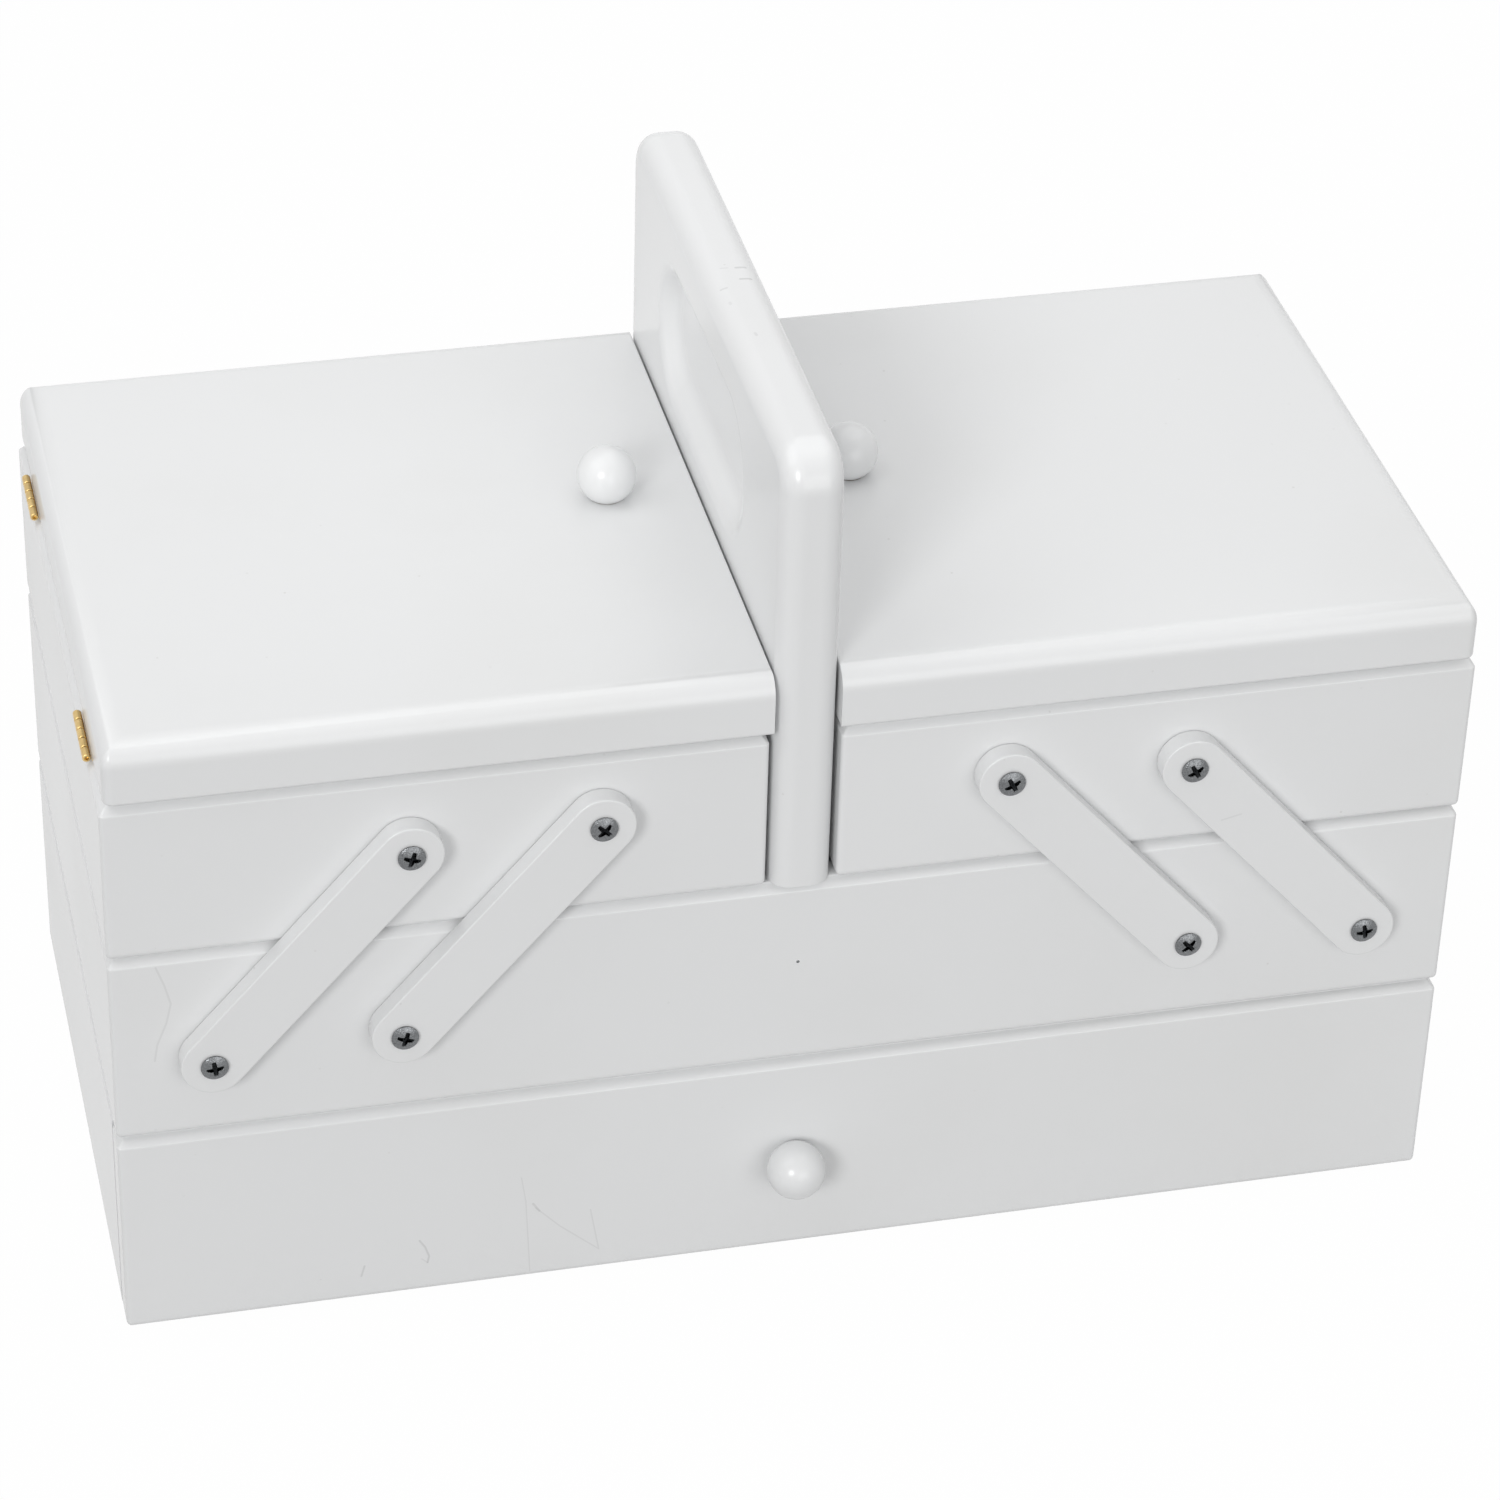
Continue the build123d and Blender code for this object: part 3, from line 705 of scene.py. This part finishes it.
def build():
    """Make every piece and give the pieces and the CAD nodes their materials."""
    white, metal, hinge = [], [], []
    walls = [f"middle_{wall}_wall" for wall in WALLS]
    white.append(tier_shell("middle_shell", "carcass", walls, wall_of("middle_left_wall", 0)))
    white.append(drawer_panel())
    white.append(handle_piece())
    white.append(knob_piece("drawer_ball_knob", "drawer", "drawer_knob", -Y))
    low_points = []
    for side in SIDES:
        tray, lid = f"{side}_tray", f"{side}_lid"
        walls = [f"{tray}_{wall}" for wall in ("front", "back", "outer_wall", "inner_wall")]
        white.append(tier_shell(f"{tray}_shell", tray, walls, wall_of(f"{tray}_outer_wall", 0), TRAY_CHAMFER))
        white.append(lid_board(side))
        white.append(knob_piece(f"{lid}_ball_knob", lid, f"{lid}_knob", Z))
        high_points = []
        for place in PLACES:
            pivot = np.array(JOINTS[f"{side}_front_{place}_swing"]["pos_m"])
            low, high = box_of(f"{side}_front_{place}_link")
            upper = low + high - pivot
            low_points.append((pivot[0], pivot[2]))
            high_points.append((upper[0], upper[2]))
            for end in ENDS:
                white.append(link_piece(side, end, place))
        screws = f"{tray}_pivot_screws"
        metal.append(pivot_screws(f"{tray}_cross_screws", tray, screws, high_points, SCREW_SEEDS[side]))
        lower, upper = [f"{tray}_hinge_leaves", f"{tray}_hinge_pins"], [f"{lid}_hinge_leaves"]
        hinge.append(hinge_leaves(f"{tray}_brass_leaves", tray, lower, 0, False))
        hinge.append(hinge_leaves(f"{lid}_brass_leaves", lid, upper, 1, True))
    screws = "lower_pivot_screws"
    metal.append(pivot_screws("lower_cross_screws", "carcass", screws, low_points, SCREW_SEEDS["lower"]))
    recipes = {"white_lacquer": lacquer, "white_panel": panel_paint, "brass": brass,
               "screw_metal": dark_chrome, "nail_steel": dark_chrome}
    by_slot = {slot: recipe(slot) for slot, recipe in recipes.items()}
    dress(white, by_slot["white_lacquer"])
    dress(metal, by_slot["screw_metal"])
    dress(hinge, by_slot["brass"])
    dress([nail_heads()], by_slot["nail_steel"])
    for subpart in frame["record"]["subparts"]:
        dress([frame["nodes"][subpart["node"]]], by_slot[subpart["material_slot"]])


# Camera: pixels of the photograph's square frame, sensor in millimetres, degrees and metres
PHOTO_PIXELS = 1500
FOCAL_PIXELS = 5106.85
SENSOR_WIDTH = 36
CAMERA_AZIMUTH = 13.964
CAMERA_ELEVATION = 34.429
CAMERA_ROLL = -1.757
CAMERA_DISTANCE = 1558.519 * MM
CAMERA_TARGET = np.array([0, 0, 120]) * MM
CAMERA_ASIDE = 8.301 * MM
CAMERA_LIFT = -4.144 * MM


# Light: a distant key that shines along a direction, and square lamps with place, target, size and watts
KEY_DIRECTION = (0.52, 0.75, -0.42)
KEY_STRENGTH = 1.03
KEY_ANGLE = 18
LAMPS = {
    "front": ((0.55, -2.1, 0.4), (0.05, 0, 0.12), 1.6, 13.5),
    "overhead": ((0.32, 0.2, 1.0), (0.05, 0, 0.12), 0.9, 2.6),
    "upper_left": ((-0.45, -0.02, 0.8), (0, 0, 0.15), 0.6, 1.55),
}
ROOM_LIGHT = 0.40
ROOM_SEEN = 1.0
FLOOR_REACH = 3.0
FLOOR_GREY = (0.35, 0.35, 0.35, 1)
FLOOR_ROUGHNESS = 0.9
FLOOR_GLOW = 1.015
FLOOR_GLOW_SHARE = 0.97


def set_camera():
    """Camera fitted to the straight edges in the photograph."""
    azimuth, elevation, roll = radians(CAMERA_AZIMUTH), radians(CAMERA_ELEVATION), radians(CAMERA_ROLL)
    back = np.array([-sin(azimuth) * cos(elevation), -cos(azimuth) * cos(elevation), sin(elevation)])
    right = np.array([cos(azimuth), -sin(azimuth), 0])
    up = np.cross(back, right)
    place = CAMERA_TARGET + back * CAMERA_DISTANCE + right * CAMERA_ASIDE + up * CAMERA_LIFT
    rolled_right = cos(roll) * right - sin(roll) * up
    rolled_up = sin(roll) * right + cos(roll) * up
    lens = bpy.data.cameras.new("camera")
    lens.sensor_width = SENSOR_WIDTH
    lens.lens = FOCAL_PIXELS / PHOTO_PIXELS * SENSOR_WIDTH
    camera = bpy.data.objects.new("camera", lens)
    turn = Matrix(np.stack([rolled_right, rolled_up, back], axis=1).tolist()).to_4x4()
    camera.matrix_world = Matrix.Translation(Vector(place)) @ turn
    bpy.context.scene.collection.objects.link(camera)
    bpy.context.scene.camera = camera


def aimed(direction):
    """Turn of a light that shines along a direction."""
    return Vector(direction).to_track_quat("-Z", "Y").to_matrix().to_4x4()


def set_key():
    """Distant light whose angle in the sky softens its shadows."""
    light = bpy.data.lights.new("key", "SUN")
    light.energy = KEY_STRENGTH
    light.angle = radians(KEY_ANGLE)
    key = bpy.data.objects.new("key", light)
    key.matrix_world = aimed(KEY_DIRECTION)
    bpy.context.scene.collection.objects.link(key)


def lamp(name, place, target, size, watts):
    """Square soft light that faces a target."""
    light = bpy.data.lights.new(name, "AREA")
    light.size = size
    light.energy = watts
    piece = bpy.data.objects.new(name, light)
    piece.matrix_world = Matrix.Translation(Vector(place)) @ aimed(Vector(target) - Vector(place))
    bpy.context.scene.collection.objects.link(piece)


def seen_ray(tree):
    """1 for camera, glossy and transmission rays, 0 for the rays that only carry light."""
    path = tree.nodes.new("ShaderNodeLightPath")
    total = path.outputs["Is Camera Ray"]
    for kind in ("Is Glossy Ray", "Is Transmission Ray"):
        either = tree.nodes.new("ShaderNodeMath")
        either.operation = "MAXIMUM"
        tree.links.new(total, either.inputs[0])
        tree.links.new(path.outputs[kind], either.inputs[1])
        total = either.outputs[0]
    return total


def set_room():
    """White surroundings that shine less than they are seen."""
    world = bpy.data.worlds.new("room")
    world.use_nodes = True
    bpy.context.scene.world = world
    tree = world.node_tree
    background = tree.nodes["Background"]
    background.inputs["Color"].default_value = (1, 1, 1, 1)
    level = tree.nodes.new("ShaderNodeMapRange")
    level.inputs["To Min"].default_value = ROOM_LIGHT
    level.inputs["To Max"].default_value = ROOM_SEEN
    tree.links.new(seen_ray(tree), level.inputs["Value"])
    tree.links.new(level.outputs[0], background.inputs["Strength"])


def floor_paint():
    """Grey for the light, nearly all white glow for the rays that see it; the rest keeps the shadow."""
    pale = bpy.data.materials.new("pale_floor")
    pale.use_nodes = True
    tree = pale.node_tree
    shader = tree.nodes["Principled BSDF"]
    shader.inputs["Base Color"].default_value = FLOOR_GREY
    shader.inputs["Roughness"].default_value = FLOOR_ROUGHNESS
    glow = tree.nodes.new("ShaderNodeEmission")
    glow.inputs["Strength"].default_value = FLOOR_GLOW
    share = tree.nodes.new("ShaderNodeMath")
    share.operation = "MULTIPLY"
    share.inputs[1].default_value = FLOOR_GLOW_SHARE
    mix = tree.nodes.new("ShaderNodeMixShader")
    tree.links.new(seen_ray(tree), share.inputs[0])
    tree.links.new(share.outputs[0], mix.inputs["Fac"])
    tree.links.new(shader.outputs[0], mix.inputs[1])
    tree.links.new(glow.outputs[0], mix.inputs[2])
    tree.links.new(mix.outputs[0], tree.nodes["Material Output"].inputs["Surface"])
    return pale


def set_floor():
    """Square floor under the box."""
    mesh = bpy.data.meshes.new("floor")
    corners = [(-1, -1), (1, -1), (1, 1), (-1, 1)]
    mesh.from_pydata([(x * FLOOR_REACH, y * FLOOR_REACH, 0) for x, y in corners], [], [(0, 1, 2, 3)])
    floor = bpy.data.objects.new("floor", mesh)
    bpy.context.scene.collection.objects.link(floor)
    mesh.materials.append(floor_paint())


def set_studio():
    """Key from the left front, soft lamps, white room and floor."""
    set_key()
    for name, settings in LAMPS.items():
        lamp(name, *settings)
    set_room()
    set_floor()
    bpy.context.scene.view_settings.view_transform = "Standard"


build()
set_camera()
set_studio()
